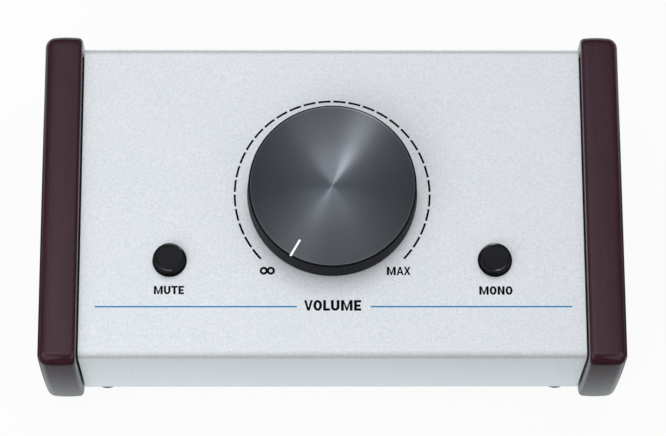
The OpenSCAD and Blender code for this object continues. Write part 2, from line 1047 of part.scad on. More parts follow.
module aux_jack_nut() {
    color(steel)
        on_rear(0, socket_z)
            difference() {
                cylinder(h = aux_nut_h, r = aux_nut_r);
                translate([0, 0, -eps])
                    cylinder(h = aux_nut_h + 1, r = aux_nose_r + fit_gap);
            }
}

module aux_jack_pins() {
    length = socket_l + board_t + 1 - sheet_t - aux_body_l;
    color(brass)
        for (i = [-1 : 1])
            on_rear(i * aux_pin_pitch, socket_z, -sheet_t - aux_body_l - length)
                translate([-aux_pin_w / 2, -aux_pin_w / 2, 0])
                    cube([aux_pin_w, aux_pin_w, length]);
}

module connector_screws() {
    color(steel)
        for (x = socket_xs)
            at_flange_screws(x)
                pan_screw(flange_screw_l);
}

top_cover();
base_tray();
side_panel_left();
side_panel_right();
side_panel_screws();
rubber_feet();
foot_screws();
volume_knob();
knob_pointer();
knob_set_screw();
pot_shaft();
pot_wiper();
pot_body();
pot_bushing();
pot_washer();
pot_nut();
pot_terminals();
mute_button();
mute_plunger();
mute_switch();
mute_spring();
mono_button();
mono_plunger();
mono_switch();
mono_spring();
control_board();
board_standoffs();
board_screws();
chip_resistors();
rear_board();
ribbon_cable();
cable_headers();
input_shell_left();
input_shell_right();
input_insert_left();
input_insert_right();
output_shell_left();
output_shell_right();
output_pins_left();
output_pins_right();
aux_jack();
aux_jack_nut();
aux_jack_pins();
connector_screws();
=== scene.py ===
"""Looks of a desktop monitor controller: fine shapes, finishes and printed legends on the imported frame."""

import json
from math import atan2, cos, pi, radians, sin, tan

import bmesh
import bpy
from mathutils.geometry import tessellate_polygon
from mathutils import Euler, Matrix, Vector

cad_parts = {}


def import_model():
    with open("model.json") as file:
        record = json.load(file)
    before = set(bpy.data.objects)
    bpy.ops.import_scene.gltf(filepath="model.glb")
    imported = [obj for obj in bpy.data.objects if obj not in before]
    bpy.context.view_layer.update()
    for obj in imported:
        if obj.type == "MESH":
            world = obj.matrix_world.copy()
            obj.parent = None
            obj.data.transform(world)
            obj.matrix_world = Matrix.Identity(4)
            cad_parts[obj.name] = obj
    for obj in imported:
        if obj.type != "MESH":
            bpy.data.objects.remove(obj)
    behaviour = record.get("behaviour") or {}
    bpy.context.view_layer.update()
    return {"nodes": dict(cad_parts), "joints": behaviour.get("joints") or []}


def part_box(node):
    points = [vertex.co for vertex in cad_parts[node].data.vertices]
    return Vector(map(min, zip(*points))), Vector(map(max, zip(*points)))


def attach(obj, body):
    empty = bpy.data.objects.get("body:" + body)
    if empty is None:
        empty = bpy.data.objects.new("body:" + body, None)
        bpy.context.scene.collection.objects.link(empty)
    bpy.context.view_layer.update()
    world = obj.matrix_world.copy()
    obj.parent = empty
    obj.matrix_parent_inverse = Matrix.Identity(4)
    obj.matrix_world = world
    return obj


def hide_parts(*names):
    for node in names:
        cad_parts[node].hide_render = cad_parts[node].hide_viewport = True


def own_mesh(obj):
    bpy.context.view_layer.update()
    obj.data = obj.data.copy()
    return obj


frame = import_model()
scene = bpy.context.scene
joints = {joint["name"]: joint for joint in frame["joints"]}

MM = 0.001
TINY = 1e-7

# Case, in millimetres
SHEET_T = 1.2
BEND_R = 2.2
BEND_INNER_R = 1.0
LIP_D = 12.0
CUT_EDGE_R = 0.12
POT_HOLE_R = 3.6
BUTTON_HOLE_R = 4.82
SCREW_HOLE_R = 1.7
SOCKET_HOLE_R = 12.0
AUX_HOLE_R = 3.1

# Wooden side panels
CHEEK_T = 10.8
CHEEK_OVER_TOP = 3.2
CHEEK_CORNER_R = 3.5
CHEEK_OUTER_R = 3.0
CHEEK_INNER_R = 1.3
CHEEK_TILT = 6.0  # degrees that the crowned edge leans at its sides
CHEEK_CROWNS = {"front": 0.5, "top": 0.2, "rear": 0.4, "bottom": 0.1}  # how far each edge bulges
CHEEK_INNER_LEAN = -0.9  # faces that point inwards more than this are on the inner side

# Knob, heights measured from the cover
KNOB_TOP_R = 23.8
KNOB_BASE_R = 24.25
KNOB_FACE_H = 9.1
KNOB_GAP = 0.5
KNOB_CHAMFER = 0.5
KNOB_LINE_W = 0.35
KNOB_LINE_DROP = 0.06
SPUN_CROWN = 7.0  # how deep the shading crowns the face
SPUN_MARKS = 0.001  # depth of the circular marks, as a share of the crown
KNOB_WALL = 2.0
KNOB_CEILING_H = 7.2
KNOB_HUB_R = 6.5
KNOB_HUB_H = 3.2
KNOB_BORE_R = 3.02
KNOB_BORE_TOP = 7.4
KNOB_SCREW_H = 5.0
KNOB_SCREW_R = 1.5
POINTER_ANGLE = 30.0  # degrees clockwise from the front
POINTER_L = 5.5
POINTER_W = 0.64
POINTER_D = 0.4
POINTER_GAP = 0.015

# Push buttons, heights measured from the cover
BUTTON_R = 4.62
BUTTON_H = 2.3
BUTTON_BOTTOM = -4.0
BUTTON_EDGE_R = 0.8
BUTTON_RIM_W = 0.15
BUTTON_DISH = 0.14
BUTTON_DISH_SLOPE = 0.3
BUTTON_GLOSS_D = 0.48  # how far down the edge the glossy top reaches
BUTTON_SOCKET_R = 2.15
BUTTON_SOCKET_TOP = -0.4
SPRING_R = 1.4
SPRING_WIRE_R = 0.2
SPRING_TURNS = 5
SPRING_STEPS = 32  # along each turn
SPRING_SIDES = 10  # round the wire
SPRING_LOW = -13.18
SPRING_HIGH = -9.32

# Feet
FOOT_R = 4.25
FOOT_H = 4.0
FOOT_EDGE_R = 0.7
FOOT_X = 65.5
FOOT_INSET = 5.4
FOOT_HOLE_R = 3.05
FOOT_SHANK_R = 1.5
FOOT_RECESS = 2.7

# Printed legends, placed by x and by distance up the slope from the front fold
KNOB_S = 47.5
INK_BASE = 0.002
INK_TOP = 0.022
SCALE_R = 27.8
SCALE_LINE_W = 0.6
SCALE_DASHES = 30
SCALE_DASH = 7.3  # degrees
SCALE_REACH = 133.2  # degrees to either side of the rear
RULE_W = 0.42
RULE_S = 14.51
RULES = {"rule_left": (-67.0, -10.05), "rule_right": (10.7, 67.7)}
# Each word with its left and right edges and its lower and upper ones
WORDS = {
    "legend_volume": ("VOLUME", -8.04, 8.08, 13.31, 16.44),
    "legend_mute": ("MUTE", -50.42, -41.94, 18.15, 20.55),
    "legend_mono": ("MONO", 41.48, 50.91, 17.95, 20.46),
    "legend_max": ("MAX", 15.4, 22.12, 23.69, 26.13),
}
LETTER_STEM = 0.27  # thickness of strokes, as shares of a capital's height
LETTER_BAR = 0.22
ENDLESS_X = -18.43
ENDLESS_S = 24.97
ENDLESS_R = 0.835
ENDLESS_REACH = 1.0  # from the middle to each ring's middle
ENDLESS_LINE_W = 0.67

# Camera: where it stands, where it looks and its lens, solved from the photograph
CAMERA_AT = Vector((-8.75, -264.69, 745.65)) * MM
CAMERA_AZIMUTH = 1.98
CAMERA_ELEVATION = 69.87
CAMERA_ROLL = 1.871
CAMERA_LENS = 143.089

# The top face as a frame of its own: origin on the knob's axis, Y up the slope, Z out of the face
TOP_AT = Vector(joints["volume_turn"]["pos_m"])
TOP_UP = -Vector(joints["volume_turn"]["axis"]).normalized()
TOP_Y = TOP_UP.cross(Vector((1, 0, 0)))
TOP = Matrix((Vector((1, 0, 0)), TOP_Y, TOP_UP)).transposed().to_4x4()
TOP.translation = TOP_AT
SLOPE = atan2(TOP_Y.z, TOP_Y.y)

cover_low, cover_high = (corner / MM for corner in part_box("top_cover"))


def top_height(y):
    """Height of the cover's top face, in millimetres, at a place in depth."""
    return TOP_AT.z / MM + (y - TOP_AT.y / MM) * tan(SLOPE)


def shift(x, y, z=0.0):
    """Matrix that moves by millimetres."""
    return Matrix.Translation(Vector((x, y, z)) * MM)


def on_top(x, s):
    """Matrix of a place on the top face: x and distance up the slope from the fold, in millimetres."""
    return TOP @ shift(x, s - KNOB_S)


def over_node(name):
    """Matrix of the place on the top face that a node's middle is above or below."""
    low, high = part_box(name)
    middle = TOP.inverted() @ ((low + high) / 2)
    return TOP @ Matrix.Translation((middle.x, middle.y, 0))


# Mesh building ---------------------------------------------------------


def arc(centre, radius, start, end, steps):
    """Points of an arc about a plane centre, from one angle to another in degrees."""
    turns = [radians(start + (end - start) * i / steps) for i in range(steps + 1)]
    return [(centre[0] + radius * cos(a), centre[1] + radius * sin(a)) for a in turns]


def fillet(corners, steps=6):
    """Points of a closed outline of (u, v, radius) corners, each rounded by an arc."""
    points = []
    for i, (u, v, radius) in enumerate(corners):
        here = Vector((u, v))
        if radius == 0:
            points.append((u, v))
            continue
        back = (Vector(corners[i - 1][:2]) - here).normalized()
        ahead = (Vector(corners[(i + 1) % len(corners)][:2]) - here).normalized()
        half = back.angle(ahead) / 2
        centre = here + (back + ahead).normalized() * radius / sin(half)
        first = here + back * radius / tan(half) - centre
        last = here + ahead * radius / tan(half) - centre
        start = atan2(first.y, first.x)
        turn = atan2(first.x * last.y - first.y * last.x, first.dot(last))
        points += arc(centre, radius, start * 180 / pi, (start + turn) * 180 / pi, steps)
    return points


def lathe(outline, steps=128):
    """Closed [radius, height] outline in millimetres, turned round the Z axis."""
    bm = bmesh.new()
    rings = []
    for radius, height in outline:
        if radius < TINY:
            rings.append([bm.verts.new((0, 0, height * MM))] * steps)
            continue
        turns = [2 * pi * i / steps for i in range(steps)]
        rings.append([
            bm.verts.new(Vector((radius * cos(a), radius * sin(a), height)) * MM) for a in turns
        ])
    for below, above in zip(rings, rings[1:] + rings[:1]):
        for i in range(steps):
            j = (i + 1) % steps
            corners = list(dict.fromkeys((below[i], below[j], above[j], above[i])))
            if len(corners) > 2:
                bm.faces.new(corners)
    bmesh.ops.recalc_face_normals(bm, faces=bm.faces)
    return bm


def bridged(rings):
    """Skin over rings of points in millimetres, one after the other, closed at both ends."""
    bm = bmesh.new()
    loops = [[bm.verts.new(Vector(p) * MM) for p in ring] for ring in rings]
    for below, above in zip(loops, loops[1:]):
        for i in range(len(below)):
            j = (i + 1) % len(below)
            bm.faces.new((below[i], below[j], above[j], above[i]))
    bm.faces.new(loops[0])
    bm.faces.new(loops[-1])
    bmesh.ops.recalc_face_normals(bm, faces=bm.faces)
    return bm


def prism(outline, low, high):
    """Plane outline in millimetres raised from one height to another."""
    return bridged([[(u, v, height) for u, v in outline] for height in (low, high)])


def box(low, high):
    """Rectangular block between two corners in millimetres."""
    corners = [(low[0], low[1]), (high[0], low[1]), (high[0], high[1]), (low[0], high[1])]
    return prism(corners, low[2], high[2])


def cylinder(radius, low, high, steps=96):
    """Straight cylinder round the Z axis, in millimetres."""
    return lathe([(0, low), (radius, low), (radius, high), (0, high)], steps)


def moved(bm, matrix):
    """The same mesh after a matrix in metres."""
    bmesh.ops.transform(bm, matrix=matrix, verts=bm.verts)
    return bm


def joined(parts):
    """One mesh from several, which are used up."""
    whole = bmesh.new()
    for part in parts:
        mesh = to_mesh("part", part)
        whole.from_mesh(mesh)
        bpy.data.meshes.remove(mesh)
    return whole


def to_mesh(name, bm):
    """Blender mesh from a bmesh, which is used up."""
    mesh = bpy.data.meshes.new(name)
    bm.to_mesh(mesh)
    bm.free()
    return mesh


def made(name, bm):
    """New object in the scene from a bmesh."""
    obj = bpy.data.objects.new(name, to_mesh(name, bm))
    scene.collection.objects.link(obj)
    return obj


def settle(obj):
    """Applies an object's modifiers to its mesh."""
    bpy.context.view_layer.update()
    depsgraph = bpy.context.evaluated_depsgraph_get()
    mesh = bpy.data.meshes.new_from_object(
        obj.evaluated_get(depsgraph), preserve_all_data_layers=True, depsgraph=depsgraph
    )
    obj.modifiers.clear()
    obj.data = mesh


def carve(obj, cutter, operation="DIFFERENCE"):
    """Cuts a closed mesh out of an object, or joins it on, in the object's own axes."""
    tool = made("tool", cutter)
    modifier = obj.modifiers.new("carve", "BOOLEAN")
    modifier.operation = operation
    modifier.solver = "EXACT"
    modifier.object = tool
    settle(obj)
    bpy.data.objects.remove(tool)


def soften(obj, width):
    """Rounds an object's sharp edges, width in millimetres."""
    modifier = obj.modifiers.new("soften", "BEVEL")
    modifier.width = width * MM
    modifier.segments = 3
    modifier.limit_method = "ANGLE"
    modifier.angle_limit = radians(35)
    settle(obj)


def shade(obj, angle=35):
    """Smooth shading that keeps flat faces flat and breaks at sharp edges."""
    obj.data.shade_smooth()
    obj.data.set_sharp_from_angle(angle=radians(angle))
    modifier = obj.modifiers.new("normals", "WEIGHTED_NORMAL")
    modifier.keep_sharp = True
    modifier.weight = 100
    settle(obj)


def dress(obj, material, body, at=None, replaces=(), angle=35):
    """Gives a finished object its shading, material, place and body."""
    shade(obj, angle)
    obj.data.materials.clear()
    obj.data.materials.append(material)
    if at is not None:
        obj.matrix_world = at
    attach(obj, body)
    if replaces:
        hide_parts(*replaces)
    return obj


# Materials -------------------------------------------------------------


def add(tree, kind, inputs=None, **settings):
    """Adds a node. Each input is a value or another node's output."""
    node = tree.nodes.new(kind)
    for key, value in settings.items():
        setattr(node, key, value)
    for key, value in (inputs or {}).items():
        if isinstance(value, bpy.types.NodeSocket):
            tree.links.new(value, node.inputs[key])
        else:
            node.inputs[key].default_value = value
    return node


def calc(tree, operation, *values, **settings):
    """Result of a math node."""
    inputs = dict(enumerate(values))
    return add(tree, "ShaderNodeMath", inputs, operation=operation, **settings).outputs[0]


def slide(tree, value, low, high, first, last, interpolation="LINEAR", clamp=True):
    """Number that runs from first to last as a value runs from low to high."""
    inputs = {"Value": value, 1: low, 2: high, 3: first, 4: last}
    settings = {"interpolation_type": interpolation, "clamp": clamp}
    return add(tree, "ShaderNodeMapRange", inputs, **settings).outputs["Result"]


def bare_material(name):
    """Material without nodes, and its tree."""
    material = bpy.data.materials.new(name)
    material.use_nodes = True
    tree = material.node_tree
    tree.nodes.clear()
    return material, tree


def new_material(name, **constants):
    """Principled material with constants on the shader's own sockets; returns it with its tree and shader."""
    material = bpy.data.materials.new(name)
    material.use_nodes = True
    tree = material.node_tree
    shader = tree.nodes["Principled BSDF"]
    for key, value in constants.items():
        shader.inputs[key.replace("_", " ")].default_value = value
    return material, tree, shader


def coordinates(tree, stretch=(1, 1, 1)):
    """Object coordinates in millimetres, stretched along the axes."""
    place = add(tree, "ShaderNodeTexCoord")
    scale = [factor / MM for factor in stretch]
    mapping = add(tree, "ShaderNodeMapping", {"Vector": place.outputs["Object"], "Scale": scale})
    return mapping.outputs["Vector"]


def noise(tree, vector, scale, detail=3.0, roughness=0.5, distortion=0.0):
    """Noise of a scale given per millimetre."""
    inputs = {
        "Vector": vector, "Scale": scale, "Detail": detail,
        "Roughness": roughness, "Distortion": distortion,
    }
    return add(tree, "ShaderNodeTexNoise", inputs).outputs["Fac"]


def ramp(tree, factor, low, high, a, b):
    """Colour that runs from a to b as the factor runs from low to high."""
    node = add(tree, "ShaderNodeValToRGB", {"Fac": factor})
    for element, place, colour in zip(node.color_ramp.elements, (low, high), (a, b)):
        element.position = place
        element.color = (*colour, 1)
    return node.outputs["Color"]


def times(tree, first, second):
    """Product of two colours."""
    inputs = {0: 1.0, 6: first, 7: second}
    return add(tree, "ShaderNodeMix", inputs, data_type="RGBA", blend_type="MULTIPLY").outputs[2]


def spread(tree, factor, low, high):
    """Number that runs from low to high over the middle of a factor's range."""
    return slide(tree, factor, 0.3, 0.7, low, high)


def bump(tree, shader, height, depth, socket="Normal"):
    """Bump of a depth in millimetres."""
    inputs = {"Height": height, "Distance": depth * MM, "Strength": 1.0}
    tree.links.new(add(tree, "ShaderNodeBump", inputs).outputs["Normal"], shader.inputs[socket])


def simple_material(name, colour, scale=0.6, contrast=0.12, roughness=(0.35, 0.5), depth=0.004,
                    stretch=(1, 1, 1), **constants):
    """Plain finish with its colour, gloss and surface broken up by noise."""
    material, tree, shader = new_material(name, **constants)
    vector = coordinates(tree, stretch)
    broad = noise(tree, vector, scale)
    fine = noise(tree, vector, scale * 9, detail=4.0)
    dark = [channel * (1 - contrast) for channel in colour]
    light = [channel * (1 + contrast) for channel in colour]
    tree.links.new(ramp(tree, broad, 0.3, 0.7, dark, light), shader.inputs["Base Color"])
    tree.links.new(spread(tree, broad, *roughness), shader.inputs["Roughness"])
    bump(tree, shader, fine, depth)
    return material


def silver_paint():
    """Satin silver paint with fine metal flake."""
    material, tree, shader = new_material("silver_paint", Metallic=0.5, Specular_IOR_Level=0.4)
    vector = coordinates(tree)
    cloud = noise(tree, vector, 0.05, detail=2.0)
    grain = noise(tree, vector, 1.1, detail=6.0, roughness=0.75)
    flake = add(tree, "ShaderNodeTexVoronoi", {"Vector": vector, "Scale": 2.6})
    mottle = noise(tree, vector, 1.5, detail=2.0, roughness=0.6)
    base = ramp(tree, mottle, 0.3, 0.7, (0.695, 0.718, 0.744), (0.825, 0.842, 0.860))
    shift = ramp(tree, cloud, 0.35, 0.65, (0.985, 0.988, 0.992), (1.0, 1.0, 1.0))
    tree.links.new(times(tree, base, shift), shader.inputs["Base Color"])
    tree.links.new(spread(tree, grain, 0.32, 0.42), shader.inputs["Roughness"])
    sparkle = add(tree, "ShaderNodeMix", {0: 0.5, 2: grain, 3: flake.outputs["Distance"]})
    bump(tree, shader, sparkle.outputs[0], 0.012)
    return material


def lacquered_wood():
    """Dark red-brown wood, grain along its length, under a clear gloss lacquer."""
    material, tree, shader = new_material(
        "lacquered_wood", Coat_Weight=0.74, Coat_Roughness=0.09, Coat_IOR=1.5, Specular_IOR_Level=0.1
    )
    vector = coordinates(tree, (1.0, 0.055, 1.0))
    figure = noise(tree, vector, 0.16, detail=3.0, distortion=1.2)
    grain = noise(tree, vector, 1.1, detail=6.0, roughness=0.65, distortion=0.4)
    pores = noise(tree, coordinates(tree, (1.0, 0.03, 1.0)), 4.5, detail=2.0)
    ground = ramp(tree, figure, 0.3, 0.7, (0.028, 0.0066, 0.0125), (0.040, 0.0100, 0.0180))
    streak = ramp(tree, grain, 0.35, 0.65, (0.84, 0.81, 0.82), (1.0, 1.0, 1.0))
    pore = ramp(tree, pores, 0.36, 0.46, (0.82, 0.79, 0.79), (1.0, 1.0, 1.0))
    tree.links.new(times(tree, times(tree, ground, streak), pore), shader.inputs["Base Color"])
    tree.links.new(spread(tree, grain, 0.42, 0.6), shader.inputs["Roughness"])
    lacquer = noise(tree, coordinates(tree), 0.09, detail=1.0)
    bump(tree, shader, lacquer, 0.02, "Coat Normal")
    return material


def spun_metal(name, dark, light, roughness):
    """Dark anodised metal, shaded as if faintly crowned, with fine circular marks round the Z axis and
    painted shade that darkens it towards the rim.
    """
    material, tree, shader = new_material(name, Metallic=1.0, Anisotropic=0.9, Anisotropic_Rotation=0.25)
    vector = coordinates(tree)
    rings = add(
        tree, "ShaderNodeTexWave",
        {"Vector": vector, "Scale": 1.1, "Distortion": 0.0, "Detail": 3.0, "Detail Scale": 6.0},
        wave_type="RINGS", rings_direction="Z",
    ).outputs["Fac"]
    reach = add(tree, "ShaderNodeVectorMath", {0: vector}, operation="LENGTH").outputs["Value"]
    share = calc(tree, "DIVIDE", reach, KNOB_TOP_R)
    # painted shade: the base colour darkens towards the rim, so that the highlight fades there
    painted_rim_shade = ramp(tree, share, 0.3, 1.0, (1.0, 1.0, 1.0), (0.62, 0.62, 0.62))
    tone = times(tree, ramp(tree, rings, 0.0, 1.0, dark, light), painted_rim_shade)
    tree.links.new(tone, shader.inputs["Base Color"])
    tree.links.new(spread(tree, share, roughness - 0.04, roughness + 0.17), shader.inputs["Roughness"])
    tangent = add(tree, "ShaderNodeTangent", direction_type="RADIAL", axis="Z")
    tree.links.new(tangent.outputs["Tangent"], shader.inputs["Tangent"])
    crown = calc(tree, "MULTIPLY", share, calc(tree, "MULTIPLY_ADD", share, 0.5, -1))
    relief = calc(tree, "MULTIPLY_ADD", rings, SPUN_MARKS, crown)
    bump(tree, shader, relief, SPUN_CROWN)
    return material


def printed_ink(name, colour):
    """Screen-printed ink, slightly uneven."""
    return simple_material(
        name, colour, scale=1.5, contrast=0.1, roughness=(0.5, 0.65), depth=0.002,
        Specular_IOR_Level=0.06,
    )


MATERIALS = {
    "silver_paint": silver_paint(),
    "lacquered_wood": lacquered_wood(),
    # near-black tray, which also paints the shade of the dark gap seen between the cover and the cheeks
    "tray_coat": simple_material(
        "tray_coat", (0.012, 0.012, 0.013), scale=1.4, contrast=0.2, roughness=(0.5, 0.65), depth=0.02
    ),
    # lighter wood for the cheeks' inner faces: painted light for the brightness they catch from the metal
    # beside them
    "inner_wood_painted_light": simple_material(
        "inner_wood_painted_light", (0.105, 0.088, 0.092), scale=1.1, contrast=0.15, roughness=(0.45, 0.55), depth=0.01,
        stretch=(1.0, 0.055, 1.0), Coat_Weight=0.8, Coat_Roughness=0.22,
    ),
    "spun_metal": spun_metal("spun_metal", (0.176, 0.186, 0.208), (0.202, 0.213, 0.236), 0.43),
    # lighter copy of the face's metal for the thin line round the face: a painted highlight
    "knob_rim_highlight": spun_metal("knob_rim_highlight", (0.25, 0.258, 0.275), (0.29, 0.298, 0.315), 0.42),
    "knob_skirt": simple_material(
        "knob_skirt", (0.005, 0.0054, 0.0062), scale=0.8, contrast=0.25, roughness=(0.42, 0.52),
        depth=0.005, stretch=(1, 1, 4), Specular_IOR_Level=0.035,
    ),
    "cap_plastic": simple_material(
        "cap_plastic", (0.003, 0.003, 0.004), scale=1.2, contrast=0.2, roughness=(0.2, 0.28),
        depth=0.003, Specular_IOR_Level=0.25,
    ),
    "cap_side": simple_material(
        "cap_side", (0.003, 0.003, 0.004), scale=1.2, contrast=0.2, roughness=(0.7, 0.85),
        depth=0.004, Specular_IOR_Level=0.03,
    ),
    "white_line": simple_material(
        "white_line", (0.95, 0.955, 0.96), scale=1.5, contrast=0.04, roughness=(0.4, 0.5), depth=0.002
    ),
    "black_ink": printed_ink("black_ink", (0.003, 0.0035, 0.005)),
    "blue_ink": printed_ink("blue_ink", (0.006, 0.21, 0.43)),
    "foot_rubber": simple_material(
        "foot_rubber", (0.012, 0.012, 0.013), contrast=0.3, roughness=(0.7, 0.85), depth=0.015
    ),
    "zinc_screw": simple_material(
        "zinc_screw", (0.55, 0.56, 0.58), contrast=0.12, roughness=(0.25, 0.38), depth=0.004,
        Metallic=1.0,
    ),
    "black_screw": simple_material(
        "black_screw", (0.03, 0.03, 0.033), contrast=0.25, roughness=(0.32, 0.45), depth=0.005,
        Metallic=0.6,
    ),
    "shaft_steel": simple_material(
        "shaft_steel", (0.6, 0.6, 0.62), contrast=0.08, roughness=(0.2, 0.3), depth=0.003,
        stretch=(1, 1, 6), Metallic=1.0,
    ),
    "contact_metal": simple_material(
        "contact_metal", (0.72, 0.71, 0.68), contrast=0.08, roughness=(0.14, 0.24), depth=0.002,
        Metallic=1.0,
    ),
    "bushing_brass": simple_material(
        "bushing_brass", (0.62, 0.45, 0.19), contrast=0.1, roughness=(0.22, 0.34), depth=0.003,
        Metallic=1.0,
    ),
    "stem_plastic": simple_material(
        "stem_plastic", (0.72, 0.72, 0.70), contrast=0.05, roughness=(0.4, 0.5), depth=0.004
    ),
    "black_plastic": simple_material(
        "black_plastic", (0.014, 0.014, 0.015), contrast=0.2, roughness=(0.38, 0.52), depth=0.01
    ),
    "board": simple_material(
        "board", (0.012, 0.085, 0.04), contrast=0.25, roughness=(0.3, 0.42), depth=0.012,
        Coat_Weight=0.5,
    ),
    "ribbon": simple_material(
        "ribbon", (0.30, 0.31, 0.33), contrast=0.15, roughness=(0.45, 0.55), depth=0.02,
        stretch=(4, 0.4, 0.4),
    ),
}


# The case --------------------------------------------------------------

ALONG_X = Matrix(((0, 0, 1, 0), (1, 0, 0, 0), (0, 1, 0, 0), (0, 0, 0, 1)))
REAR_FACE = Matrix(((-1, 0, 0, 0), (0, 0, 1, 0), (0, 1, 0, 0), (0, 0, 0, 1)))


def on_rear(x, z):
    """Matrix of a place on the rear face, its Z pointing backwards, its Y up; millimetres."""
    return shift(x, cover_high.y, z) @ REAR_FACE


def node_centre(name):
    """Middle of a CAD node's box, in millimetres."""
    low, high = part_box(name)
    return (low + high) / 2 / MM


SOCKETS = ["output_shell_left", "output_shell_right", "input_shell_left", "input_shell_right"]
SOCKET_XS = sorted(node_centre(name).x for name in SOCKETS)
SOCKET_Z = node_centre("aux_jack").z
FLANGE_SCREW = (9.5, 12.0)
FOOT_YS = (cover_low.y + FOOT_INSET, cover_high.y - FOOT_INSET)
FOOT_PLACES = [(x, y) for x in (-FOOT_X, FOOT_X) for y in FOOT_YS]
FLANGE_SCREWS = [
    (x + side * FLANGE_SCREW[0], SOCKET_Z + side * FLANGE_SCREW[1])
    for x in SOCKET_XS for side in (-1, 1)
]


def sheet_outline():
    """Cut through the folded sheet, seen from the side, in millimetres."""
    front, rear, bottom = cover_low.y, cover_high.y, cover_low.z
    fold, rear_top = top_height(front), top_height(rear)
    floor = bottom + SHEET_T
    inset = SHEET_T / cos(SLOPE)
    skew = SHEET_T * tan(SLOPE)
    edge = CUT_EDGE_R
    return fillet([
        (front + LIP_D, bottom, edge),
        (front, bottom, BEND_R),
        (front, fold, BEND_R),
        (rear, rear_top, BEND_R),
        (rear, bottom, BEND_R),
        (rear - LIP_D, bottom, edge),
        (rear - LIP_D, floor, edge),
        (rear - SHEET_T, floor, BEND_INNER_R),
        (rear - SHEET_T, rear_top - inset - skew, BEND_INNER_R),
        (front + SHEET_T, fold - inset + skew, BEND_INNER_R),
        (front + SHEET_T, floor, BEND_INNER_R),
        (front + LIP_D, floor, edge),
    ], steps=16)


def cover_holes():
    """Everything that is punched out of the cover."""
    holes = [(POT_HOLE_R, 96, TOP)]
    holes += [(BUTTON_HOLE_R, 128, over_node(name)) for name in ("mute_button", "mono_button")]
    holes += [(SOCKET_HOLE_R, 128, on_rear(x, SOCKET_Z)) for x in SOCKET_XS]
    holes += [(SCREW_HOLE_R, 48, on_rear(x, z)) for x, z in FLANGE_SCREWS]
    holes.append((AUX_HOLE_R, 96, on_rear(0, SOCKET_Z)))
    holes += [(SCREW_HOLE_R, 48, shift(x, y, cover_low.z)) for x, y in FOOT_PLACES]
    low, high = -3 * SHEET_T, 2 * SHEET_T
    return joined([moved(cylinder(radius, low, high, steps), place) for radius, steps, place in holes])


def cover():
    """Folded sheet with its front, top and rear faces and the two lips underneath."""
    sheet = made("cover_sheet", moved(prism(sheet_outline(), cover_low.x, cover_high.x), ALONG_X))
    carve(sheet, cover_holes())
    soften(sheet, CUT_EDGE_R)
    dress(sheet, MATERIALS["silver_paint"], "case", replaces=["top_cover"])


# Side panels -----------------------------------------------------------


def crowned_arcs(corners, crowns, radius):
    """Arcs (centre, radius, start, turn) of an outline with bulging sides and round corners.

    The corners run anticlockwise, and crowns[i] is how far the side after corner i bulges.
    """
    count = len(corners)
    points = [Vector(corner) for corner in corners]
    lines = []
    for i in range(count):
        run = (points[(i + 1) % count] - points[i]).normalized()
        normal = Vector((run.y, -run.x))
        lines.append((normal, normal.dot(points[i]) - radius - crowns[i]))
    centres = []
    for i in range(count):
        (a, reach_a), (b, reach_b) = lines[i - 1], lines[i]
        size = a.x * b.y - a.y * b.x
        centres.append(Vector((reach_a * b.y - reach_b * a.y, a.x * reach_b - b.x * reach_a)) / size)
    sides = []
    for i in range(count):
        near, far = centres[i], centres[(i + 1) % count]
        reach = ((far - near).length_squared / 4 + crowns[i] ** 2) / (2 * crowns[i])
        middle = (near + far) / 2 - lines[i][0] * (reach - crowns[i])
        sides.append((middle, reach + radius, near - middle, far - middle))
    arcs = []
    for i in range(count):
        arrive, leave = sides[i - 1][3], sides[i][2]
        arcs.append((centres[i], radius, *sweep(arrive, leave)))
        middle, reach, start, end = sides[i]
        arcs.append((middle, reach, *sweep(start, end)))
    return arcs


def sweep(start, end):
    """Start angle and turn, in degrees, between two directions."""
    turn = atan2(start.x * end.y - start.y * end.x, start.dot(end))
    return atan2(start.y, start.x) * 180 / pi, turn * 180 / pi


def inset_points(arcs, inset, steps=10):
    """Points of the arcs' outline, moved in by inset."""
    points = []
    for centre, radius, start, turn in arcs:
        points += arc(centre, radius - inset, start, start + turn, steps)[:-1]
    return points


def cheek_section():
    """(x, inset) points across a panel's crowned edge, from the inner face to the outer one."""
    tilt = radians(CHEEK_TILT)
    inner_x = CHEEK_INNER_R * (1 - sin(tilt))
    outer_x = CHEEK_T - CHEEK_OUTER_R * (1 - sin(tilt))
    drop = tan(tilt) * (outer_x - inner_x) / 4
    curve = tan(tilt) / (outer_x - inner_x)
    inner = arc((CHEEK_INNER_R, -drop - CHEEK_INNER_R * cos(tilt)), CHEEK_INNER_R, 180, 90 + CHEEK_TILT, 6)
    outer = arc(
        (CHEEK_T - CHEEK_OUTER_R, -drop - CHEEK_OUTER_R * cos(tilt)), CHEEK_OUTER_R,
        90 - CHEEK_TILT, 0, 12,
    )
    steps = 10
    crown = []
    for i in range(1, steps):
        x = inner_x + (outer_x - inner_x) * i / steps
        crown.append((x, -curve * (x - (inner_x + outer_x) / 2) ** 2))
    return [(x, -height) for x, height in inner + crown + outer]


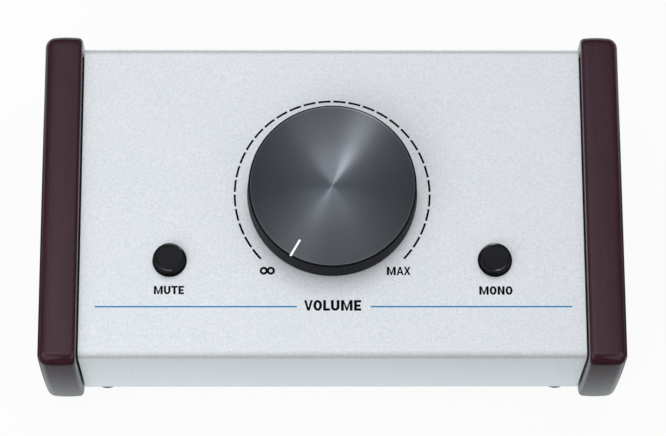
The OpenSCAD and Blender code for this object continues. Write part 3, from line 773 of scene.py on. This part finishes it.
def cheek(side):
    """Wooden side panel, side -1 on the left and 1 on the right."""
    word = "left" if side < 0 else "right"
    low, high = (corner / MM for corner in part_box("side_panel_" + word))
    lift = CHEEK_OVER_TOP / cos(SLOPE)
    corners = [
        (low.y, low.z), (high.y, low.z),
        (high.y, top_height(high.y) + lift), (low.y, top_height(low.y) + lift),
    ]
    crowns = [CHEEK_CROWNS[key] for key in ("bottom", "rear", "top", "front")]
    arcs = crowned_arcs(corners, crowns, CHEEK_CORNER_R)
    inner_x = high.x - CHEEK_T if side > 0 else -low.x - CHEEK_T
    rings = [
        [(side * (inner_x + x), y, z) for y, z in inset_points(arcs, inset)]
        for x, inset in cheek_section()
    ]
    panel = made("cheek_" + word, bridged(rings))
    dress(
        panel, MATERIALS["lacquered_wood"], "case",
        replaces=["side_panel_" + word], angle=60,
    )
    # the inner faces get the lighter wood, painted light
    panel.data.materials.append(MATERIALS["inner_wood_painted_light"])
    for face in panel.data.polygons:
        if face.normal.x * side < CHEEK_INNER_LEAN:
            face.material_index = 1


# Knob ------------------------------------------------------------------


def towards_pointer():
    """Matrix that turns X from the knob's axis towards its pointer."""
    return Matrix.Rotation(radians(-90 - POINTER_ANGLE), 4, "Z")


def pointer_block(grow=0.0):
    """Straight bar along the pointer, from inside the face to past the rim."""
    half = POINTER_W / 2 + grow
    low = (KNOB_TOP_R - POINTER_L - grow, -half, KNOB_FACE_H - POINTER_D - grow)
    return moved(box(low, (KNOB_TOP_R + 1, half, KNOB_FACE_H + 1)), towards_pointer())


def knob():
    """Turned knob: a spun face, a thin tilted line round it in a lighter copy of the metal as a painted
    highlight, and a darker chamfer and skirt.
    """
    face_r = KNOB_TOP_R - KNOB_CHAMFER
    line_r = face_r - KNOB_LINE_W
    outline = fillet([
        (KNOB_BORE_R, KNOB_HUB_H, 0.1),
        (KNOB_HUB_R, KNOB_HUB_H, 0.2),
        (KNOB_HUB_R, KNOB_CEILING_H, 0.4),
        (KNOB_BASE_R - KNOB_WALL, KNOB_CEILING_H, 0.5),
        (KNOB_BASE_R - KNOB_WALL, KNOB_GAP, 0.15),
        (KNOB_BASE_R, KNOB_GAP, 0.2),
        (KNOB_TOP_R, KNOB_FACE_H - KNOB_CHAMFER, 0.08),
        (face_r, KNOB_FACE_H - KNOB_LINE_DROP, 0),
        (line_r, KNOB_FACE_H, 0),
        (0, KNOB_FACE_H, 0),
        (0, KNOB_BORE_TOP, 0),
        (KNOB_BORE_R, KNOB_BORE_TOP, 0),
    ])
    body = made("knob_turned", lathe(outline, 256))
    hole = moved(cylinder(KNOB_SCREW_R, 1, KNOB_BASE_R + 1, 48), Matrix.Rotation(radians(-90), 4, "Y"))
    hole = moved(hole, towards_pointer() @ shift(0, 0, KNOB_SCREW_H))
    carve(body, joined([pointer_block(), hole]))
    dress(body, MATERIALS["spun_metal"], "volume", at=TOP, replaces=["volume_knob"], angle=25)
    body.data.materials.append(MATERIALS["knob_rim_highlight"])
    body.data.materials.append(MATERIALS["knob_skirt"])
    for face in body.data.polygons:
        reach = max(body.data.vertices[i].co.xy.length for i in face.vertices)
        if face.center.z < (KNOB_FACE_H - KNOB_LINE_DROP) * MM - TINY:
            face.material_index = 2
        # the thin line round the face takes the lighter metal, a painted highlight
        elif reach > line_r * MM + TINY:
            face.material_index = 1
    return body


def knob_line():
    """White line let into the knob's face."""
    line = made("knob_line", pointer_block(grow=-POINTER_GAP))
    shell = lathe([
        (0, KNOB_GAP), (KNOB_BASE_R, KNOB_GAP), (KNOB_TOP_R, KNOB_FACE_H - KNOB_CHAMFER),
        (KNOB_TOP_R - KNOB_CHAMFER, KNOB_FACE_H - KNOB_LINE_DROP), (0, KNOB_FACE_H),
    ], 256)
    carve(line, shell, "INTERSECT")
    dress(line, MATERIALS["white_line"], "volume", at=TOP, replaces=["knob_pointer"])


# Push buttons ----------------------------------------------------------


def button(name, body, node):
    """Round cap with a rounded edge and a shallow dish in its top."""
    rim = BUTTON_R - BUTTON_EDGE_R - BUTTON_RIM_W
    outline = fillet([
        (BUTTON_SOCKET_R, BUTTON_BOTTOM, 0),
        (BUTTON_R, BUTTON_BOTTOM, 0.15),
        (BUTTON_R, BUTTON_H, BUTTON_EDGE_R),
        (rim, BUTTON_H, 0.05),
        (rim - BUTTON_DISH_SLOPE, BUTTON_H - BUTTON_DISH, 0.1),
        (0, BUTTON_H - BUTTON_DISH, 0),
        (0, BUTTON_SOCKET_TOP, 0),
        (BUTTON_SOCKET_R, BUTTON_SOCKET_TOP, 0),
    ])
    cap = made(name, lathe(outline, 128))
    place = over_node(node)
    dress(cap, MATERIALS["cap_plastic"], body, at=place, replaces=[node], angle=40)
    cap.data.materials.append(MATERIALS["cap_side"])
    for face in cap.data.polygons:
        if face.center.z < (BUTTON_H - BUTTON_GLOSS_D) * MM:
            face.material_index = 1
    return cap


def spring(name, button_node, node):
    """Coil under a plunger; the real one shortens as the button goes in."""
    steps = SPRING_TURNS * SPRING_STEPS
    wire = arc((SPRING_R, 0), SPRING_WIRE_R, 0, 360, SPRING_SIDES)[:-1]
    rings = []
    for i in range(steps + 1):
        turn = 2 * pi * SPRING_TURNS * i / steps
        middle = SPRING_LOW + (SPRING_HIGH - SPRING_LOW) * i / steps
        rings.append([(r * cos(turn), r * sin(turn), middle + rise) for r, rise in wire])
    coil = made(name, bridged(rings))
    place = over_node(button_node)
    dress(coil, MATERIALS["shaft_steel"], "case", at=place, replaces=[node])
    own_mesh(coil)


# Feet ------------------------------------------------------------------


def feet():
    """Four rubber feet, each with a recess for its screw."""
    outline = fillet([
        (FOOT_SHANK_R, FOOT_RECESS, 0),
        (FOOT_HOLE_R, FOOT_RECESS, 0.1),
        (FOOT_HOLE_R, 0, 0.2),
        (FOOT_R, 0, FOOT_EDGE_R),
        (FOOT_R, FOOT_H, 0.1),
        (FOOT_SHANK_R, FOOT_H, 0),
    ])
    for i, (x, y) in enumerate(FOOT_PLACES):
        foot = made(f"foot_{i + 1}", lathe(outline, 96))
        dress(
            foot, MATERIALS["foot_rubber"], "case", at=shift(x, y), replaces=["rubber_feet"]
        )


# Printed legends -------------------------------------------------------


def ring_sector(radius, width, start, end):
    """Outline of a piece of a ring; angles in degrees, anticlockwise from X."""
    outer = arc((0, 0), radius + width / 2, start, end, 8)
    inner = arc((0, 0), radius - width / 2, end, start, 8)
    return outer + inner


def print_on_top(name, bm, ink, at):
    """Dresses a thin print that lies on the top face."""
    dress(made(name, bm), MATERIALS[ink], "case", at=at)


def scale_ring():
    """Dashed arc round the knob, open towards the front."""
    pitch = (2 * SCALE_REACH - SCALE_DASH) / (SCALE_DASHES - 1)
    dashes = []
    for i in range(SCALE_DASHES):
        start = 90 + SCALE_REACH - i * pitch
        outline = ring_sector(SCALE_R, SCALE_LINE_W, start, start - SCALE_DASH)
        dashes.append(prism(outline, INK_BASE, INK_TOP))
    print_on_top("legend_scale", joined(dashes), "black_ink", TOP)


def rules():
    """The two thin blue lines either side of the volume legend."""
    for name, (left, right) in RULES.items():
        bar = box((left, -RULE_W / 2, INK_BASE), (right, RULE_W / 2, INK_TOP))
        print_on_top(name, bar, "blue_ink", on_top(0, RULE_S))


def endless_mark():
    """Sign for full attenuation at the scale's low end: two rings side by side."""
    rings = []
    for side in (-1, 1):
        centre = (side * ENDLESS_REACH, 0)
        outer = arc(centre, ENDLESS_R + ENDLESS_LINE_W / 2, 0, 360, 48)[:-1]
        inner = arc(centre, ENDLESS_R - ENDLESS_LINE_W / 2, 0, 360, 48)[:-1]
        ring = made("ring", prism(outer, INK_BASE, INK_TOP))
        carve(ring, prism(inner, INK_BASE - 1, INK_TOP + 1))
        rings.append(ring)
    first, second = rings
    cutter = bmesh.new()
    cutter.from_mesh(second.data)
    bpy.data.objects.remove(second)
    carve(first, cutter, "UNION")
    first.name = "legend_endless"
    dress(first, MATERIALS["black_ink"], "case", at=on_top(ENDLESS_X, ENDLESS_S))


def oval(centre, half_w, half_h, start, end, steps):
    """Arc of an ellipse; angles in degrees, anticlockwise from X."""
    return [(centre[0] + x * half_w, centre[1] + y * half_h) for x, y in arc((0, 0), 1, start, end, steps)]


def capitals():
    """Bold capitals one unit high: each has its width, its side spaces and its outlines, holes last."""
    s, b = LETTER_STEM, LETTER_BAR
    bowl = [(0, 1), (s, 1), *oval((0.41, 0.38), 0.41 - s, 0.38 - b, 180, 360, 16), (0.82 - s, 1)]
    bowl += [(0.82, 1), *oval((0.41, 0.38), 0.41, 0.38, 360, 180, 16)]
    ring = oval((0.415, 0.5), 0.415, 0.51, 0, 360, 40)[:-1]
    eye = oval((0.415, 0.5), 0.415 - s, 0.51 - b, 0, 360, 40)[:-1]
    return {
        "A": (0.88, 0.02, 0.01, [
            [(0, 0), (0.335, 1), (0.545, 1), (0.88, 0), (0.66, 0), (0.597, 0.2), (0.283, 0.2), (0.22, 0)],
            [(0.335, 0.37), (0.545, 0.37), (0.44, 0.72)],
        ]),
        "E": (0.68, 0.07, 0.05, [[
            (0, 0), (0, 1), (0.68, 1), (0.68, 1 - b), (s, 1 - b), (s, 0.59), (0.61, 0.59),
            (0.61, 0.59 - b), (s, 0.59 - b), (s, b), (0.68, b), (0.68, 0),
        ]]),
        "L": (0.65, 0.07, 0.02, [[(0, 0), (0, 1), (s, 1), (s, b), (0.65, b), (0.65, 0)]]),
        "M": (1.11, 0.07, 0.07, [[
            (0, 0), (0, 1), (0.27, 1), (0.555, 0.3), (0.84, 1), (1.11, 1), (1.11, 0), (1.11 - s, 0),
            (1.11 - s, 0.66), (0.63, 0), (0.48, 0), (s, 0.66), (s, 0),
        ]]),
        "N": (0.82, 0.07, 0.07, [[
            (0, 0), (0, 1), (s, 1), (0.82 - s, 0.36), (0.82 - s, 1), (0.82, 1), (0.82, 0), (0.82 - s, 0),
            (s, 0.64), (s, 0),
        ]]),
        "O": (0.83, 0.04, 0.04, [ring, eye]),
        "T": (0.82, 0.02, 0.02, [[
            (0, 1), (0.82, 1), (0.82, 1 - b), (0.41 + s / 2, 1 - b), (0.41 + s / 2, 0),
            (0.41 - s / 2, 0), (0.41 - s / 2, 1 - b), (0, 1 - b),
        ]]),
        "U": (0.82, 0.07, 0.07, [bowl]),
        "V": (0.85, 0.0, 0.0, [[
            (0, 1), (0.23, 1), (0.425, 0.29), (0.62, 1), (0.85, 1), (0.535, 0), (0.315, 0),
        ]]),
        "X": (0.84, 0.01, 0.0, [[
            (0, 1), (0.24, 1), (0.42, 0.68), (0.6, 1), (0.84, 1), (0.545, 0.51), (0.84, 0), (0.6, 0),
            (0.42, 0.33), (0.24, 0), (0, 0), (0.295, 0.51),
        ]]),
    }


def lettering(text):
    """Flat mesh of a word in bold capitals, one unit high."""
    alphabet = capitals()
    bm = bmesh.new()
    place = 0.0
    for letter in text:
        width, before, after, loops = alphabet[letter]
        place += before
        loops = [[Vector((place + x, y, 0)) for x, y in loop] for loop in loops]
        corners = [bm.verts.new(point) for loop in loops for point in loop]
        for face in tessellate_polygon(loops):
            bm.faces.new([corners[i] for i in face])
        place += width + after
    return bm


def word(text, left, right, low, high):
    """Word fitted to a rectangle in millimetres and given the thickness of ink."""
    bm = lettering(text)
    xs = [v.co.x for v in bm.verts]
    ys = [v.co.y for v in bm.verts]
    wide = (right - left) / (max(xs) - min(xs))
    tall = (high - low) / (max(ys) - min(ys))
    for v in bm.verts:
        u = left + (v.co.x - min(xs)) * wide
        w = low + (v.co.y - min(ys)) * tall
        v.co = Vector((u, w, INK_BASE)) * MM
    faces = list(bm.faces)
    raised = bmesh.ops.extrude_face_region(bm, geom=faces, use_keep_orig=True)["geom"]
    lifted = [item for item in raised if isinstance(item, bmesh.types.BMVert)]
    bmesh.ops.translate(bm, verts=lifted, vec=(0, 0, (INK_TOP - INK_BASE) * MM))
    bmesh.ops.recalc_face_normals(bm, faces=bm.faces)
    return bm


def words():
    """Function words beside the controls."""
    for name, (text, left, right, low, high) in WORDS.items():
        print_on_top(name, word(text, left, right, low, high), "black_ink", on_top(0, 0))


# CAD nodes that stay as they are, with a finish ------------------------

KEPT = {
    "tray_coat": ["base_tray"],
    "zinc_screw": ["side_panel_screws", "board_screws", "pot_nut", "pot_washer", "knob_set_screw"],
    "black_screw": ["foot_screws", "connector_screws"],
    "shaft_steel": ["pot_shaft", "pot_body", "board_standoffs"],
    "contact_metal": ["output_pins_left", "output_pins_right", "aux_jack_pins", "aux_jack_nut"],
    "bushing_brass": ["pot_bushing", "pot_terminals"],
    "stem_plastic": ["mute_plunger", "mono_plunger"],
    "black_plastic": [
        "pot_wiper", "mute_switch", "mono_switch", "chip_resistors", "cable_headers",
        "input_shell_left", "input_shell_right", "input_insert_left", "input_insert_right",
        "output_shell_left", "output_shell_right", "aux_jack",
    ],
    "board": ["control_board", "rear_board"],
    "ribbon": ["ribbon_cable"],
}


def finish_kept_nodes():
    """Gives each CAD node that stays in view its material."""
    for name, nodes in KEPT.items():
        for node in nodes:
            mesh = frame["nodes"][node].data
            mesh.materials.clear()
            mesh.materials.append(MATERIALS[name])


# Stage, light and camera -----------------------------------------------

WHITE = 0.985
SKY_LIGHT = 0.56
FLOOR_SIZE = 12.0  # metres
FLOOR_GLOW = 0.94
FLOOR_LOW = -10.0
FLOOR_TOP = -0.02

# Tent: its levels, and the parts of its direction from the object over which they change
TENT_R = 3.0  # metres
TENT_T = 20.0
TENT_COLOUR = (0.94, 0.99, 1.06)
TENT_LOW = 0.03
TENT_TOP = 0.80
TENT_RISE = (0.3, 0.9)
TENT_REAR = (-0.6, 0.0)
TENT_TILTS = {"X": (-0.25, 0.25, 1.25), "Y": (0.0, 0.36, 1.45)}  # the last is the level at the first place
TENT_SIDE = 0.5
TENT_ASIDE = (0.14, 0.5)

# Card on the floor: its levels and, in millimetres, where they change
CARD_R = 1.5  # metres
CARD_LOW = -0.01
CARD_HIGH = -0.005
CARD_COLOUR = (0.93, 1.03, 1.06)
CARD_NEAR = 0.86
CARD_REAR = 0.8
CARD_SIDE = 0.12
CARD_START_Y = -49.0
CARD_FADE = 17.0
CARD_STEP = 8.0


def seen_directly(tree):
    """1 for camera, glossy and transmission rays, 0 for diffuse ones."""
    path = add(tree, "ShaderNodeLightPath").outputs
    first = calc(tree, "ADD", path["Is Camera Ray"], path["Is Glossy Ray"])
    return calc(tree, "ADD", first, path["Is Transmission Ray"], use_clamp=True)


def world():
    """White surroundings to look at and to reflect, and a lower level that lights the object."""
    made_world = bpy.data.worlds.new("studio")
    made_world.use_nodes = True
    tree = made_world.node_tree
    tree.nodes.clear()
    shown = add(tree, "ShaderNodeBackground", {"Color": (WHITE, WHITE, WHITE, 1), "Strength": 1.0})
    light = add(tree, "ShaderNodeBackground", {"Color": (1, 1, 1, 1), "Strength": SKY_LIGHT})
    inputs = {0: seen_directly(tree), 1: light.outputs[0], 2: shown.outputs[0]}
    mix = add(tree, "ShaderNodeMixShader", inputs)
    add(tree, "ShaderNodeOutputWorld", {"Surface": mix.outputs[0]})
    scene.world = made_world


def floor():
    """Pale floor that keeps a soft shadow of the object."""
    half = FLOOR_SIZE / 2 / MM
    ground = made("floor", box((-half, -half, FLOOR_LOW), (half, half, FLOOR_TOP)))
    material, tree = bare_material("floor")
    matte = add(tree, "ShaderNodeBsdfDiffuse", {"Color": (0.9, 0.9, 0.9, 1)})
    glow = add(tree, "ShaderNodeEmission", {"Color": (WHITE, WHITE, WHITE, 1), "Strength": 1.0})
    share = calc(tree, "MULTIPLY", seen_directly(tree), FLOOR_GLOW)
    mix = add(tree, "ShaderNodeMixShader", {0: share, 1: matte.outputs[0], 2: glow.outputs[0]})
    add(tree, "ShaderNodeOutputMaterial", {"Surface": mix.outputs[0]})
    ground.data.materials.append(material)


def softbox(name, azimuth, elevation, distance, size, radiance, shines_on, only=()):
    """Area lamp aimed at the object. Azimuth 0 is behind it and 90 to its right; sizes in metres.

    It lights surfaces ("diffuse") or shows in their gloss ("glossy"), and only on the objects that are given,
    if any are.
    """
    a, e = radians(azimuth), radians(elevation)
    away = Vector((sin(a) * cos(e), cos(a) * cos(e), sin(e)))
    lamp = bpy.data.lights.new(name, "AREA")
    lamp.shape = "RECTANGLE"
    lamp.size, lamp.size_y = size
    lamp.energy = radiance * pi * size[0] * size[1]
    holder = bpy.data.objects.new(name, lamp)
    scene.collection.objects.link(holder)
    holder.location = away * distance
    holder.rotation_mode = "QUATERNION"
    holder.rotation_quaternion = away.to_track_quat("Z", "Y")
    holder.visible_camera = False
    holder.visible_diffuse = shines_on == "diffuse"
    holder.visible_glossy = shines_on == "glossy"
    if only:
        lit = bpy.data.collections.new(name)
        for obj in only:
            lit.objects.link(obj)
        holder.light_linking.receiver_collection = lit


def gloss_card(name, bm, colour, level):
    """Stage piece that only gloss reflects, with a brightness that depends on the place on it."""
    card = made(name, bm)
    material, tree = bare_material(name)
    place = add(tree, "ShaderNodeTexCoord").outputs["Object"]
    glow = add(tree, "ShaderNodeEmission", {"Color": (*colour, 1), "Strength": level(tree, place)})
    add(tree, "ShaderNodeOutputMaterial", {"Surface": glow.outputs[0]})
    card.data.materials.append(material)
    card.visible_camera = False
    card.visible_diffuse = False
    card.visible_shadow = False
    card.visible_transmission = False


def tent_level(tree, place):
    """Grey overhead, brighter towards the left and the front, dimmer far to the sides, and dark low down."""
    direction = add(tree, "ShaderNodeVectorMath", {0: place}, operation="NORMALIZE").outputs[0]
    axes = add(tree, "ShaderNodeSeparateXYZ", {0: direction}).outputs
    level = slide(tree, axes["Z"], *TENT_RISE, 0, TENT_TOP, "SMOOTHSTEP")
    level = calc(tree, "MULTIPLY", level, slide(tree, axes["Y"], *TENT_REAR, 0, 1, "SMOOTHSTEP"))
    for axis, (low, high, end) in TENT_TILTS.items():
        level = calc(tree, "MULTIPLY", level, slide(tree, axes[axis], low, high, end, 2 - end))
    aside = calc(tree, "ABSOLUTE", axes["X"])
    level = calc(tree, "MULTIPLY", level, slide(tree, aside, *TENT_ASIDE, 1, TENT_SIDE, "SMOOTHSTEP"))
    return calc(tree, "ADD", level, TENT_LOW)


def card_level(tree, place):
    """Bright behind the object and close to its front, fading further out, and dim beside it."""
    y = add(tree, "ShaderNodeSeparateXYZ", {0: place}).outputs["Y"]
    away = slide(tree, y, CARD_START_Y * MM, (CARD_START_Y - CARD_FADE) * MM, 0, -1, clamp=False)
    fade = calc(tree, "EXPONENT", calc(tree, "MINIMUM", away, 0))
    share = slide(tree, y, CARD_START_Y * MM, (CARD_START_Y + CARD_STEP) * MM, CARD_NEAR, CARD_SIDE)
    front = calc(tree, "MULTIPLY", fade, share)
    rear = slide(tree, y, -(CARD_START_Y + CARD_STEP) * MM, -CARD_START_Y * MM, 0, CARD_REAR)
    return calc(tree, "MAXIMUM", front, rear)


def tent():
    """Studio tent round the object and a grey card on the floor, both seen only in gloss."""
    outer = arc((0, 0), TENT_R / MM, 0, 90, 24)
    inner = arc((0, 0), TENT_R / MM - TENT_T, 90, 0, 24)
    gloss_card("tent", lathe(outer + inner, 96), TENT_COLOUR, tent_level)
    gloss_card("floor_card", cylinder(CARD_R / MM, CARD_LOW, CARD_HIGH), CARD_COLOUR, card_level)


def studio(shiny):
    """Soft light from above, strips that streak the shiny pieces, soft gloss in front, and the tent."""
    softbox("key_above", 8, 60, 1.1, (0.8, 0.4), 4.7, "diffuse")
    softbox("front_fill", 218, 38, 0.6, (0.4, 0.4), 3.4, "diffuse")
    softbox("streak", 21, 35, 0.15, (0.022, 0.068), 37, "glossy", shiny)
    softbox("streak_wide", -6, 35, 0.24, (0.14, 0.1), 7.6, "glossy", shiny)
    softbox("front_left", 232, 36, 1.2, (1.5, 0.9), 0.8, "glossy")
    softbox("front_right", 128, 36, 1.2, (1.5, 0.9), 0.8, "glossy")
    tent()


def camera():
    """Camera at the photograph's place."""
    data = bpy.data.cameras.new("camera")
    data.lens = CAMERA_LENS
    data.clip_start, data.clip_end = 0.05, 50.0
    holder = bpy.data.objects.new("camera", data)
    scene.collection.objects.link(holder)
    aim = Euler((radians(90 - CAMERA_ELEVATION), 0, radians(-CAMERA_AZIMUTH))).to_matrix()
    turned = aim @ Matrix.Rotation(radians(CAMERA_ROLL), 3, "Z")
    holder.matrix_world = Matrix.Translation(CAMERA_AT) @ turned.to_4x4()
    scene.camera = holder


scene.view_settings.view_transform = "Standard"
camera()
world()
floor()
finish_kept_nodes()
cover()
cheek(-1)
cheek(1)
studio([
    knob(),
    button("mute_cap", "mute", "mute_button"),
    button("mono_cap", "mono", "mono_button"),
])
knob_line()
spring("mute_coil", "mute_button", "mute_spring")
spring("mono_coil", "mono_button", "mono_spring")
feet()
scale_ring()
rules()
endless_mark()
words()
